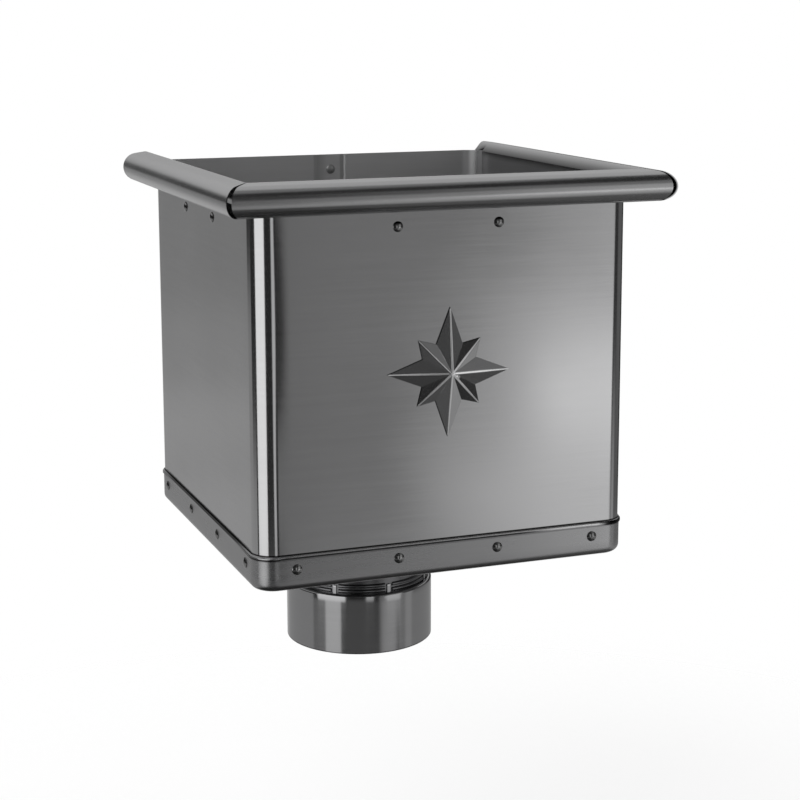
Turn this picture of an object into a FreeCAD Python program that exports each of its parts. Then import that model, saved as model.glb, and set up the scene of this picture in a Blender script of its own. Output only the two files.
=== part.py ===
"""Downpipe hopper head in pre-weathered zinc sheet, millimetres.

A square bowl open at the top takes water from the gutter and lets it down
into a downpipe. Its wall is one wrapped sheet with a lapped seam at the
back, standing in a shallow pan. A collar and a sleeve below the pan make
the outlet, and a rolled rim in three strips stiffens the open edge.

The frame is the outlet's: the origin lies on the outlet's axis at its lower
end, +Z points up and +Y points to the wall that carries the head.
"""
import FreeCAD, Part
import math
import os
import Sketcher
from FreeCAD import Placement, Rotation, Vector

SIZES = {
    # the sheet and how closely its pieces fit
    "sheet": 0.8,
    "fit_gap": 0.1,
    # the wrapped wall
    "body_width": 240.0,
    "corner_radius": 13.5,
    "back_top": 325.5,
    "lap_centre": 7.0,
    "lap_width": 19.2,
    "lap_line": 0.4,
    # the pan under it
    "pan_base": 89.1,
    "pan_depth": 22.0,
    "pan_edge_radius": 5.0,
    "lip_height": 2.0,
    "lip_reach": 1.0,
    # the outlet
    "outlet_setback": 163.4,
    "spigot_radius": 50.0,
    "spigot_length": 41.1,
    "spigot_shoulder": 1.8,
    "collar_radius": 46.6,
    "collar_flange": 62.0,
    "collar_bend": 1.7,
    "collar_entry": 12.0,
    "bead_height": 2.6,
    "bead_reach": 1.3,
    "bead_gap": 0.9,
    "tongue_count": 8,
    "tongue_width": 2.2,
    "tongue_height": 6.4,
    "tongue_slot": 4.8,
    # the rolled rim
    "roll_radius": 9.3,
    "roll_drop": 4.2,
    "roll_offset": 11.4,
    "roll_end_angle": 215.0,
    "shoulder_radius": 4.0,
    "shoulder_rise": 6.2,
    "shoulder_offset": 5.4,
    "rim_rise": 2.0,
    "rim_web_reach": 3.3,
    "rim_flange_depth": 29.3,
    "mitre_open_left": 2.6,
    "mitre_open_right": 1.2,
    # the rivets
    "rivet_inset": 23.7,
    "pan_rivet_drop": 8.8,
    "rim_rivet_rise": 8.2,
    "seam_rivets": 4,
    "seam_rivet_drop": 10.4,
    "seam_rivet_rise": 18.0,
    "rivet_head": 6.4,
    "rivet_rise": 1.3,
    "rivet_shank": 3.2,
    "rivet_blind": 4.8,
    "rivet_blind_length": 3.0,
    "rivet_pit": 1.9,
    "rivet_pit_depth": 0.7,
    # the star on the front
    "star_height": 213.8,
    "star_reach": 39.1,
    "star_short_reach": 28.0,
    "star_valley": 19.0,
    "star_valley_angle": 26.0,
    "star_relief": 6.6,
    "star_turn": 1.1,
}

# the share of a ledge that its rounded corner takes
ROUNDED = 0.9
# how far a cut runs past what it cuts
OVERRUN = 1.0

doc = FreeCAD.newDocument("downpipe_hopper_head")
sheet_of_sizes = doc.addObject("Spreadsheet::Sheet", "Sizes")
for row, (alias, number) in enumerate(SIZES.items(), start=1):
    sheet_of_sizes.set("A%d" % row, alias)
    sheet_of_sizes.set("B%d" % row, str(number))
    sheet_of_sizes.setAlias("B%d" % row, alias)
doc.recompute()


class Size:
    """A length worked out from the sheet: its number and its formula."""

    def __init__(self, value, text):
        self.value = value
        self.text = text

    def combine(self, other, sign, value, swap=False):
        other_text = other.text if isinstance(other, Size) else repr(other)
        pair = (other_text, self.text) if swap else (self.text, other_text)
        return Size(value, "(%s %s %s)" % (pair[0], sign, pair[1]))

    def __add__(self, other):
        return self.combine(other, "+", self.value + number_of(other))

    def __sub__(self, other):
        return self.combine(other, "-", self.value - number_of(other))

    def __rsub__(self, other):
        return self.combine(other, "-", number_of(other) - self.value, True)

    def __mul__(self, other):
        return self.combine(other, "*", self.value * number_of(other))

    def __rmul__(self, other):
        return self.combine(other, "*", number_of(other) * self.value, True)

    def __truediv__(self, other):
        return self.combine(other, "/", self.value / number_of(other))

    def __neg__(self):
        return Size(-self.value, "(-1 * %s)" % self.text)


def number_of(size):
    return size.value if isinstance(size, Size) else float(size)


def size(alias):
    return Size(float(sheet_of_sizes.get(alias)), "Sizes.%s" % alias)


def cosine(angle):
    return Size(math.cos(math.radians(angle.value)), "cos(%s * 1 deg)" % angle.text)


def sine(angle):
    return Size(math.sin(math.radians(angle.value)), "sin(%s * 1 deg)" % angle.text)


def slope_onto_circle(run, rise, radius):
    """The slope of a line that starts a run beside and a rise below the
    centre of a circle and climbs to touch it from above."""
    far = math.hypot(run.value, rise.value)
    angle = math.asin(radius.value / far) + math.atan(rise.value / run.value)
    text = "tan(asin(%s / hypot(%s; %s)) + atan(%s / %s))" % (
        radius.text, run.text, rise.text, rise.text, run.text)
    return Size(math.tan(angle), text)


def bind(thing, name, length):
    """Ties a property of a feature or a sketch to the sheet."""
    if isinstance(length, Size):
        thing.setExpression(name, length.text)
    else:
        setattr(thing, name, length)


# driving sizes and the places worked out from them
sheet = size("sheet")
fit_gap = size("fit_gap")
half_width = size("body_width") / 2
corner_radius = size("corner_radius")
centre_y = half_width - size("outlet_setback")
pan_wrap = fit_gap + sheet
pan_base = size("pan_base")
pan_top = pan_base + size("pan_depth")
wall_foot = pan_base + size("pan_edge_radius") + fit_gap
roll_axis = size("back_top") - size("roll_drop")
rim_edge = roll_axis + size("rim_rise")
side_top = rim_edge - 2 * sheet
flange_foot = rim_edge - size("rim_flange_depth")
flange_inset = 2 * sheet + fit_gap
web_slope = slope_onto_circle(
    size("rim_web_reach") + size("shoulder_offset"),
    size("shoulder_rise") - size("rim_rise"), size("shoulder_radius"))
flange_top = rim_edge + (size("rim_web_reach") - flange_inset) * web_slope - sheet / 4
rim_reach = size("roll_offset") + size("roll_radius") + OVERRUN
rivet_hole = size("rivet_shank") / 2 + fit_gap
rivet_pitch = (size("body_width") - 2 * size("rivet_inset")) / 3
rivet_grip = 2 * sheet + fit_gap


def new_body(label, at=None, turn=0.0):
    """A body whose own axes stand at a place and a turn about the vertical."""
    body = doc.addObject("PartDesign::Body", label)
    body.Label = label
    place = at or Vector(0, 0, 0)
    body.Placement = Placement(place, Rotation(Vector(0, 0, 1), turn))
    return body


def box_centre():
    return Vector(0, centre_y.value, 0)


def sketch_on(body, name, role="XY_Plane", height=None):
    """A sketch on one of the body's own planes, raised by a height."""
    plane = [f for f in body.Origin.OriginFeatures if f.Role == role][0]
    sketch = body.newObject("Sketcher::SketchObject", body.Label + "_" + name)
    sketch.AttachmentSupport = (plane, "")
    sketch.MapMode = "FlatFace"
    if height is not None:
        bind(sketch, "AttachmentOffset.Base.z", height)
    return sketch


def dimension(sketch, kind, geometry, point, length):
    """Fixes one coordinate of a point, or on the axis where it is nothing."""
    if not isinstance(length, Size):
        axis = -2 if kind == "DistanceX" else -1
        sketch.addConstraint(Sketcher.Constraint("PointOnObject", geometry, point, axis))
        return
    row = sketch.addConstraint(
        Sketcher.Constraint(kind, -1, 1, geometry, point, length.value))
    sketch.setExpression("Constraints[%d]" % row, length.text)


def radius_of(sketch, geometry, length):
    row = sketch.addConstraint(Sketcher.Constraint("Radius", geometry, length.value))
    sketch.setExpression("Constraints[%d]" % row, length.text)


def same(first, second):
    return number_of(first) == number_of(second)


def point_of(corner):
    return Vector(number_of(corner[0]), number_of(corner[1]), 0)


def outline(sketch, corners):
    """A closed outline of straight lines. Each corner gives x, y and, where
    two square lines meet in an arc, its radius."""
    count = len(corners)
    points = [point_of(corner) for corner in corners]
    rounds = [corner[2] if len(corner) > 2 else None for corner in corners]

    def trimmed(index, towards):
        if rounds[index] is None:
            return points[index]
        way = (points[towards] - points[index]).normalize()
        return points[index] + way * number_of(rounds[index])

    lines = []
    for index in range(count):
        after = (index + 1) % count
        start = trimmed(index, after)
        end = trimmed(after, index)
        lines.append(sketch.addGeometry(Part.LineSegment(start, end), False))
    for index in range(count):
        before = lines[index - 1]
        line = lines[index]
        if rounds[index] is None:
            sketch.addConstraint(Sketcher.Constraint("Coincident", before, 2, line, 1))
            continue
        incoming = trimmed(index, index - 1)
        outgoing = trimmed(index, (index + 1) % count)
        centre = incoming + outgoing - points[index]
        bulge = centre + (points[index] - centre).normalize() * number_of(rounds[index])
        arc = sketch.addGeometry(Part.Arc(incoming, bulge, outgoing), False)
        turn = (points[index] - incoming).cross(outgoing - points[index]).z
        first, last = (1, 2) if turn > 0 else (2, 1)
        sketch.addConstraint(Sketcher.Constraint("Tangent", before, 2, arc, first))
        sketch.addConstraint(Sketcher.Constraint("Tangent", line, 1, arc, last))
        radius_of(sketch, arc, rounds[index])
    upright = []
    level = []
    for index in range(count):
        start, end = corners[index], corners[(index + 1) % count]
        upright.append(same(start[0], end[0]))
        level.append(same(start[1], end[1]))
        if upright[index]:
            sketch.addConstraint(Sketcher.Constraint("Vertical", lines[index]))
            dimension(sketch, "DistanceX", lines[index], 1, start[0])
        if level[index]:
            sketch.addConstraint(Sketcher.Constraint("Horizontal", lines[index]))
            dimension(sketch, "DistanceY", lines[index], 1, start[1])
    for index in range(count):
        if not (upright[index] or upright[index - 1]):
            dimension(sketch, "DistanceX", lines[index], 1, corners[index][0])
        if not (level[index] or level[index - 1]):
            dimension(sketch, "DistanceY", lines[index], 1, corners[index][1])


def rounded_square(sketch, half, radius):
    outline(sketch, [(half, half, radius), (-half, half, radius),
                     (-half, -half, radius), (half, -half, radius)])


def circle(sketch, x, y, radius):
    centre = Vector(number_of(x), number_of(y), 0)
    shape = Part.Circle(centre, Vector(0, 0, 1), number_of(radius))
    geometry = sketch.addGeometry(shape, False)
    dimension(sketch, "DistanceX", geometry, 3, x)
    dimension(sketch, "DistanceY", geometry, 3, y)
    radius_of(sketch, geometry, radius)


def feature(body, kind, name, sketch, **settings):
    made = body.newObject("PartDesign::" + kind, body.Label + "_" + name)
    made.Profile = sketch
    for setting, value in settings.items():
        bind(made, setting, value)
    sketch.Visibility = False
    return made


def pad(body, name, sketch, length, **settings):
    return feature(body, "Pad", name, sketch, Length=length, **settings)


def pocket(body, name, sketch, **settings):
    """A cut; it has to take something away."""
    doc.recompute()
    before = body.Shape.Volume
    made = feature(body, "Pocket", name, sketch, **settings)
    doc.recompute()
    if not body.Shape.Volume < before:
        raise ValueError("%s cuts nothing" % made.Name)
    return made


def revolve(body, name, sketch):
    made = feature(body, "Revolution", name, sketch)
    made.ReferenceAxis = (sketch, ["V_Axis"])
    return made


def polar(body, name, features, count):
    axis = [f for f in body.Origin.OriginFeatures if f.Role == "Z_Axis"][0]
    made = body.newObject("PartDesign::PolarPattern", body.Label + "_" + name)
    made.Originals = features
    made.Axis = (axis, [""])
    made.Angle = 360
    bind(made, "Occurrences", count)
    body.Tip = made
    return made


def round_edges(body, name, radius, wanted):
    """A fillet on the edges of the body's last feature that a test picks."""
    doc.recompute()
    base = body.Tip
    edges = ["Edge%d" % (i + 1) for i, edge in enumerate(base.Shape.Edges) if wanted(edge)]
    made = body.newObject("PartDesign::Fillet", body.Label + "_" + name)
    made.Base = (base, edges)
    bind(made, "Radius", radius)
    return made


def hollow_from_top(body, name, wall):
    """Leaves a wall of even thickness under the open top face."""
    doc.recompute()
    base = body.Tip
    faces = base.Shape.Faces
    top = max(range(len(faces)), key=lambda i: faces[i].BoundBox.ZMin)
    made = body.newObject("PartDesign::Thickness", body.Label + "_" + name)
    made.Base = (base, ["Face%d" % (top + 1)])
    made.Reversed = True
    bind(made, "Value", wall)
    return made


def lies_level_at(height, half):
    """Tests whether an edge lies at a height, on the outline of a square."""
    def test(edge):
        box = edge.BoundBox
        reach = max(abs(box.XMin), abs(box.XMax), abs(box.YMin), abs(box.YMax))
        flat = box.ZLength < 1e-6 and abs(box.ZMin - number_of(height)) < 1e-6
        return flat and abs(reach - number_of(half)) < 1e-3
    return test


def drill(body, name, role, places, **settings):
    """Rivet holes at places on an upright plane."""
    sketch = sketch_on(body, name + "_places", role)
    for x, y in places:
        circle(sketch, x, y, rivet_hole)
    return pocket(body, name, sketch, **settings)


def row_of_four(height):
    """Four rivets a pitch apart, about the middle of a side."""
    return [(step * rivet_pitch, height) for step in (-1.5, -0.5, 0.5, 1.5)]


def middle_pair(height):
    return [(step * rivet_pitch, height) for step in (-0.5, 0.5)]


pan_rivet_height = pan_top - size("pan_rivet_drop")
rim_rivet_height = flange_foot + size("rim_rivet_rise")
seam_rivet_top = size("back_top") - size("seam_rivet_drop")
seam_rivet_foot = pan_top + size("seam_rivet_rise")
seam_rivet_pitch = (seam_rivet_top - seam_rivet_foot) / (SIZES["seam_rivets"] - 1)
seam_places = [(size("lap_centre"), seam_rivet_top - step * seam_rivet_pitch)
               for step in range(SIZES["seam_rivets"])]


def body_wall():
    """The wrapped wall: rounded corners, a lap inside the back, and a lower
    top edge on the three sides that carry the rim."""
    body = new_body("body_wall", box_centre())
    plan = sketch_on(body, "plan", height=wall_foot)
    rounded_square(plan, half_width, corner_radius)
    rounded_square(plan, half_width - sheet, corner_radius - sheet)
    tall = size("back_top") - wall_foot
    pad(body, "wrap", plan, tall)

    lap = sketch_on(body, "lap_plan", height=wall_foot)
    left = size("lap_centre") - size("lap_width") / 2
    right = size("lap_centre") + size("lap_width") / 2
    inner = half_width - 2 * sheet
    outer = half_width - sheet / 2
    outline(lap, [(left, inner), (right, inner), (right, outer), (left, outer)])
    pad(body, "lap", lap, tall)

    joint = sketch_on(body, "joint_plan", height=wall_foot)
    depth = half_width - sheet / 2
    edge = half_width + OVERRUN
    outline(joint, [(left, depth), (left + size("lap_line"), depth),
                    (left + size("lap_line"), edge), (left, edge)])
    pocket(body, "joint", joint, Length=tall, Reversed=True)

    lowered = sketch_on(body, "lowered_plan", height=side_top)
    far = half_width + OVERRUN
    back = half_width - corner_radius
    outline(lowered, [(-far, -far), (far, -far), (far, back), (-far, back)])
    pocket(body, "lowered", lowered, Length=tall, Reversed=True)

    both_ways = {"Length": size("body_width") + 2 * OVERRUN, "SideType": "Symmetric"}
    drill(body, "pan_holes_front", "XZ_Plane", row_of_four(pan_rivet_height), **both_ways)
    drill(body, "pan_holes_side", "YZ_Plane", row_of_four(pan_rivet_height), **both_ways)
    drill(body, "rim_holes_side", "YZ_Plane", middle_pair(rim_rivet_height), **both_ways)
    drill(body, "rim_holes_front", "XZ_Plane", middle_pair(rim_rivet_height),
          Length=half_width + OVERRUN, Reversed=True)
    drill(body, "seam_holes", "XZ_Plane", seam_places, Length=half_width + OVERRUN)
    return body


def base_pan():
    """The pressed pan: an upright flange outside the wall with a thick lip,
    a rounded lower edge and the hole for the collar."""
    body = new_body("base_pan", box_centre())
    outer_half = half_width + pan_wrap
    outer_round = corner_radius + pan_wrap
    plan = sketch_on(body, "plan", height=pan_base)
    rounded_square(plan, outer_half, outer_round)
    pad(body, "block", plan, size("pan_depth"))
    round_edges(body, "lower_edge", size("pan_edge_radius"),
                lies_level_at(pan_base, outer_half))
    hollow_from_top(body, "shell", sheet)

    lip = sketch_on(body, "lip_plan", height=pan_top - size("lip_height"))
    rounded_square(lip, outer_half + size("lip_reach"), outer_round + size("lip_reach"))
    rounded_square(lip, half_width + fit_gap, corner_radius + fit_gap)
    pad(body, "lip", lip, size("lip_height"))
    round_edges(body, "lip_edge", size("lip_reach") * ROUNDED,
                lies_level_at(pan_top, outer_half + size("lip_reach")))

    hole = sketch_on(body, "hole_plan", height=pan_top)
    hole_radius = size("collar_radius") + size("collar_bend") + fit_gap
    circle(hole, 0, -centre_y, hole_radius)
    pocket(body, "hole", hole, Length=size("pan_depth") + OVERRUN)

    both_ways = {"Length": size("body_width") + 2 * rim_reach, "SideType": "Symmetric"}
    drill(body, "holes_front", "XZ_Plane", row_of_four(pan_rivet_height), **both_ways)
    drill(body, "holes_side", "YZ_Plane", row_of_four(pan_rivet_height), **both_ways)
    return body


def outlet_collar():
    """The flanged collar on the pan's floor. Its neck carries two beads, cut
    away where the sleeve's tongues lie."""
    body = new_body("outlet_collar")
    neck = size("collar_radius")
    bore = neck - sheet
    floor = pan_base + sheet
    top = floor + sheet
    foot = size("spigot_length") - size("collar_entry")
    reach = neck + size("bead_reach")
    low = size("spigot_length") + size("bead_gap") / 2
    bead = size("bead_height")
    high = low + bead + size("bead_gap")
    bead_round = size("bead_reach") * ROUNDED
    section = sketch_on(body, "section", "XZ_Plane")
    outline(section, [
        (bore, foot), (neck, foot),
        (neck, low), (reach, low, bead_round), (reach, low + bead, bead_round),
        (neck, low + bead),
        (neck, high), (reach, high, bead_round), (reach, high + bead, bead_round),
        (neck, high + bead),
        (neck, floor, size("collar_bend")), (size("collar_flange"), floor),
        (size("collar_flange"), top), (bore, top, size("collar_bend") + sheet)])
    revolve(body, "turned", section)

    slot = sketch_on(body, "slot_plan", height=low - size("bead_gap") / 4)
    half_slot = size("tongue_slot") / 2
    cut_to = neck - fit_gap
    past = reach + OVERRUN
    outline(slot, [(cut_to, -half_slot), (past, -half_slot),
                   (past, half_slot), (cut_to, half_slot)])
    cut = pocket(body, "slot", slot, Reversed=True,
                 Length=2 * (bead + size("bead_gap")))
    polar(body, "slots", [cut], size("tongue_count"))
    return body


def outlet_spigot():
    """The sleeve a downpipe takes: its upper edge is turned in to the
    collar's neck, and tongues stand up from it between the beads."""
    body = new_body("outlet_spigot")
    outer = size("spigot_radius")
    inner = outer - sheet
    top = size("spigot_length")
    seat = size("collar_radius") + fit_gap
    shoulder = size("spigot_shoulder")
    section = sketch_on(body, "section", "XZ_Plane")
    outline(section, [
        (inner, 0), (outer, 0), (outer, top, shoulder), (seat, top),
        (seat, top - sheet), (inner, top - sheet, shoulder - sheet)])
    revolve(body, "turned", section)

    plan = sketch_on(body, "tongue_plan", height=top - sheet)
    half_tongue = size("tongue_width") / 2
    near = seat + fit_gap
    outline(plan, [(near, -half_tongue), (near + sheet, -half_tongue),
                   (near + sheet, half_tongue), (near, half_tongue)])
    tongue = pad(body, "tongue", plan, size("tongue_height"))
    doc.recompute()
    polar(body, "tongues", [tongue], size("tongue_count"))
    return body


def roll_section(sketch):
    """The rim's section on the YZ plane of the strip's own axes. An open
    roll stands outside the wall. Its top climbs gently to a small round
    shoulder, and the web falls from there over the wall's edge."""
    roll = (-(half_width + size("roll_offset")), roll_axis, size("roll_radius"))
    shoulder = (-(half_width + size("shoulder_offset")), roll_axis + size("shoulder_rise"),
                size("shoulder_radius"))
    edge = (-half_width + size("rim_web_reach"), rim_edge)

    between = point_of(shoulder) - point_of(roll)
    lean = math.acos((roll[2] - shoulder[2]).value / between.Length)
    top_way = math.atan2(between.y, between.x) + lean
    reach = point_of(edge) - point_of(shoulder)
    web_way = math.atan2(reach.y, reach.x) + math.acos(shoulder[2].value / reach.Length)
    mouth_way = math.radians(180 - size("roll_end_angle").value)
    full_turn = 2 * math.pi

    def on_circle(centre, way, less):
        distance = centre[2].value - less
        return point_of(centre) + Vector(math.cos(way), math.sin(way), 0) * distance

    def arc(centre, less, first, last):
        ring = Part.Circle(point_of(centre), Vector(0, 0, 1), centre[2].value - less)
        return sketch.addGeometry(Part.ArcOfCircle(ring, first, last), False)

    def line(start, end):
        return sketch.addGeometry(Part.LineSegment(start, end), False)

    skins = []
    for less in (0, sheet.value):
        web_start = point_of(edge) - Vector(0, less / math.sin(web_way), 0)
        skins.append((
            arc(roll, less, top_way, mouth_way + full_turn),
            line(on_circle(shoulder, top_way, less), on_circle(roll, top_way, less)),
            arc(shoulder, less, web_way, top_way),
            line(web_start, on_circle(shoulder, web_way, less))))
    web_end = line(point_of(edge), point_of(edge) - Vector(0, sheet.value / math.sin(web_way), 0))
    mouth = line(on_circle(roll, mouth_way, sheet.value), on_circle(roll, mouth_way, 0))

    for curl, top, bend, web in skins:
        sketch.addConstraint(Sketcher.Constraint("Tangent", curl, 1, top, 2))
        sketch.addConstraint(Sketcher.Constraint("Tangent", bend, 2, top, 1))
        sketch.addConstraint(Sketcher.Constraint("Tangent", bend, 1, web, 2))
    (curl, _, bend, web), (inner_curl, _, inner_bend, inner_web) = skins
    for geometry, inner, centre in ((curl, inner_curl, roll), (bend, inner_bend, shoulder)):
        dimension(sketch, "DistanceX", geometry, 3, centre[0])
        dimension(sketch, "DistanceY", geometry, 3, centre[1])
        radius_of(sketch, geometry, centre[2])
        sketch.addConstraint(Sketcher.Constraint("Coincident", geometry, 3, inner, 3))
        radius_of(sketch, inner, centre[2] - sheet)
    dimension(sketch, "DistanceX", web, 1, edge[0])
    dimension(sketch, "DistanceY", web, 1, edge[1])
    sketch.addConstraint(Sketcher.Constraint("Coincident", web, 1, web_end, 1))
    sketch.addConstraint(Sketcher.Constraint("Vertical", web_end))
    sketch.addConstraint(Sketcher.Constraint("Coincident", web_end, 2, inner_web, 1))
    sketch.addConstraint(Sketcher.Constraint("Parallel", web, inner_web))
    sketch.addConstraint(Sketcher.Constraint("Coincident", mouth, 1, inner_curl, 2))
    sketch.addConstraint(Sketcher.Constraint("Coincident", mouth, 2, curl, 2))
    sketch.addConstraint(Sketcher.Constraint("PointOnObject", curl, 3, mouth))
    dimension(sketch, "DistanceX", curl, 2, roll[0] - roll[2] * cosine(size("roll_end_angle")))


def clear_of_corner(body, end):
    """Cuts the web round the outside of the wall's corner, which rises
    through it at a plain end."""
    plan = sketch_on(body, "corner_plan", height=rim_edge + size("roll_radius") * 2)
    near = half_width - corner_radius
    clear = half_width + fit_gap
    outline(plan, [
        (end * near, -clear), (end * clear, -clear, corner_radius),
        (end * clear, OVERRUN - near), (end * near, OVERRUN - near)])
    pocket(body, "corner", plan, Length=size("roll_radius") * 4)


def rim_strip(label, turn, mitres, plain_end=0):
    """One strip of the rim, made as the front one and turned to its side.
    A mitre gives the end, -1 or 1, and how far it stands open outside."""
    body = new_body(label, box_centre(), turn)
    far = half_width + rim_reach
    section = sketch_on(body, "section", "YZ_Plane")
    roll_section(section)
    pad(body, "roll", section, 2 * far, SideType="Symmetric")

    inside = half_width - size("rim_web_reach") - OVERRUN
    beyond = far + rim_reach
    ends = sketch_on(body, "ends_plan", height=rim_edge + size("roll_radius") * 2)
    for end, opening, play in mitres:
        outline(ends, [
            (end * (inside - play), -inside), (end * (half_width - play), -half_width),
            (end * (far - opening), -far), (end * beyond, -far), (end * beyond, -inside)])
    if plain_end:
        outline(ends, [
            (plain_end * half_width, -far), (plain_end * half_width, -inside),
            (plain_end * beyond, -inside), (plain_end * beyond, -far)])
    pocket(body, "ends", ends, Length=size("roll_radius") * 4)
    if plain_end:
        clear_of_corner(body, plain_end)

    bowl = sketch_on(body, "bowl_plan", height=rim_edge + size("roll_radius") * 2)
    rounded_square(bowl, half_width - flange_inset, corner_radius - flange_inset)
    pocket(body, "bowl", bowl, Length=size("roll_radius") * 4)

    flange = sketch_on(body, "flange_plan", height=flange_foot)
    long = half_width - corner_radius
    outer = -half_width + sheet + fit_gap
    inner = outer + sheet
    outline(flange, [(-long, outer), (long, outer), (long, inner), (-long, inner)])
    pad(body, "flange", flange, flange_top - flange_foot)
    drill(body, "holes", "XZ_Plane", middle_pair(rim_rivet_height),
          Length=far, Reversed=True)
    return body


def star_ornament():
    """The eight-pointed star, stamped from sheet: four long points and four
    short ones, with a ridge to each point and a valley between."""
    place = Vector(0, -size("outlet_setback").value, size("star_height").value)
    body = new_body("star_ornament")
    tilt = Rotation(Vector(0, 1, 0), size("star_turn").value)
    body.Placement = Placement(place, tilt)
    relief = size("star_relief")
    hollow = 1 - sheet / relief

    def points(scale):
        valley = size("star_valley_angle")
        spots = []
        for quarter in range(4):
            long = Size(90.0 * quarter, repr(90.0 * quarter))
            round_the_quarter = (
                (size("star_reach"), long), (size("star_valley"), long + valley),
                (size("star_short_reach"), long + 45),
                (size("star_valley"), long + 90 - valley))
            for reach, angle in round_the_quarter:
                spots.append((scale * reach * cosine(angle), scale * reach * sine(angle)))
        return spots

    def pyramid(kind, name, scale):
        base = sketch_on(body, name + "_outline", "XZ_Plane")
        outline(base, points(scale))
        tip = sketch_on(body, name + "_tip", "XZ_Plane", height=scale * relief)
        tip.addGeometry(Part.Point(Vector(0, 0, 0)), False)
        tip.addConstraint(Sketcher.Constraint("Coincident", 0, 1, -1, 1))
        loft = feature(body, kind, name, base)
        loft.Sections = [(tip, ["Vertex1"])]
        loft.Ruled = True
        doc.recompute()

    pyramid("AdditiveLoft", "outside", Size(1.0, "1"))
    pyramid("SubtractiveLoft", "inside", hollow)
    return body


def rivet_section(sketch):
    """A blind rivet about its own axis: the pitted head stands on the sheet,
    and the swollen tail holds behind it."""
    shank = size("rivet_shank") / 2
    head = size("rivet_head") / 2
    tail = size("rivet_blind") / 2
    rise = size("rivet_rise")
    pit = size("rivet_pit") / 2
    pit_floor = rise - size("rivet_pit_depth")
    end = -(rivet_grip + size("rivet_blind_length"))
    outline(sketch, [
        (0, end), (tail, end, tail / 2), (tail, -rivet_grip), (shank, -rivet_grip),
        (shank, 0), (head, 0), (head, rise, rise * ROUNDED), (pit, rise),
        (pit, pit_floor), (0, pit_floor)])


def rivet(label, place, outward):
    """A rivet with its head at a place, facing outward."""
    body = new_body(label)
    body.Placement = Placement(place, Rotation(Vector(0, 0, 1), outward))
    section = sketch_on(body, "section", "XZ_Plane")
    rivet_section(section)
    revolve(body, "turned", section)
    return body


def side_vectors():
    """Each side's name, its outward way and the way along it."""
    return {
        "front": (Vector(0, -1, 0), Vector(1, 0, 0)),
        "right": (Vector(1, 0, 0), Vector(0, 1, 0)),
        "back": (Vector(0, 1, 0), Vector(-1, 0, 0)),
        "left": (Vector(-1, 0, 0), Vector(0, -1, 0)),
    }


def rivets():
    """All the rivets. Those of the seam have their heads inside the bowl."""
    made = []
    wall_face = half_width.value
    lap_face = (half_width - 2 * sheet).value
    pan_face = (half_width + pan_wrap).value
    for side, (outward, along) in side_vectors().items():
        rows = [("pan_rivet", pan_face, row_of_four(pan_rivet_height))]
        if side != "back":
            rows.append(("rim_rivet", wall_face, middle_pair(rim_rivet_height)))
        for name, face, places in rows:
            for number, (step, height) in enumerate(places, start=1):
                place = box_centre() + outward * face + along * step.value
                place.z = height.value
                made.append(rivet("%s_%s_%d" % (name, side, number), place, outward))
    for number, (x, height) in enumerate(seam_places, start=1):
        place = box_centre() + Vector(x.value, lap_face, height.value)
        made.append(rivet("seam_rivet_%d" % number, place, Vector(0, -1, 0)))
    return made


pieces = [
    body_wall(), base_pan(), outlet_collar(), outlet_spigot(), star_ornament(),
    rim_strip("rim_front", 0, [(-1, size("mitre_open_left"), fit_gap),
                               (1, size("mitre_open_right"), fit_gap)]),
    rim_strip("rim_left", -90, [(1, fit_gap, 0)], plain_end=-1),
    rim_strip("rim_right", 90, [(-1, fit_gap, 0)], plain_end=1),
] + rivets()
doc.recompute()

for thing in doc.Objects:
    if {"Invalid", "Error"} & set(thing.State):
        raise ValueError("%s failed: %s" % (thing.Name, thing.State))
os.makedirs("parts", exist_ok=True)
for piece in pieces:
    if piece.Shape.isNull() or not piece.Shape.isValid() or len(piece.Shape.Solids) != 1:
        raise ValueError("%s is not one sound solid" % piece.Label)
    piece.Shape.exportStep("parts/%s.step" % piece.Label)
    print(piece.Label, round(piece.Shape.Volume, 1))
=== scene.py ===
"""Downpipe hopper head in pre-weathered zinc sheet, dressed for its picture.

The frame is the CAD model's: the outlet's axis is Z, the spigot's lower end
lies at the origin, and +Y points to the wall that carries the head. Lengths
are millimetres, and make_piece turns them into metres. A run is a length
along a bent sheet; round the wall it starts in the middle of the front and
grows to the right.
"""
import math

import bmesh
import bpy
import numpy as np
from mathutils import Matrix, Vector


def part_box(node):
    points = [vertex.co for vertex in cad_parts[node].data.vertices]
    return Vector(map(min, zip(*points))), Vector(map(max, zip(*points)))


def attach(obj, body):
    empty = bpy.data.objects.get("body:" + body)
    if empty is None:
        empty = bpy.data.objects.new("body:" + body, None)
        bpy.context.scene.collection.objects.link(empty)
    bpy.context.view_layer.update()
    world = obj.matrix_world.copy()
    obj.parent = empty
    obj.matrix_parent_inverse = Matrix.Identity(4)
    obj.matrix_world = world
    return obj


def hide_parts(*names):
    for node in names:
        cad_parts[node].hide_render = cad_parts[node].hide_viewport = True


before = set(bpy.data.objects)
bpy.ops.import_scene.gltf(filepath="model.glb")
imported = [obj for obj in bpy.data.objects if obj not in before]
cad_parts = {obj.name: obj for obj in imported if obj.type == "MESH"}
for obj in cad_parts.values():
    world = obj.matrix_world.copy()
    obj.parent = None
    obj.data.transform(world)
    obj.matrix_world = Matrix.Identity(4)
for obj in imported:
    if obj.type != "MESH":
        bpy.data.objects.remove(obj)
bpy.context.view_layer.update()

MM = 0.001


def span(node):
    """A CAD node's lowest and highest corners, in millimetres."""
    low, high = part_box(node)
    return np.array(low) / MM, np.array(high) / MM


# the sheet, and how finely its bends and cut edges are divided
SHEET = 0.8
CUT_EDGE = 0.2
EDGE_POINTS = 4
BEND_PIECE = 9.0

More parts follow.
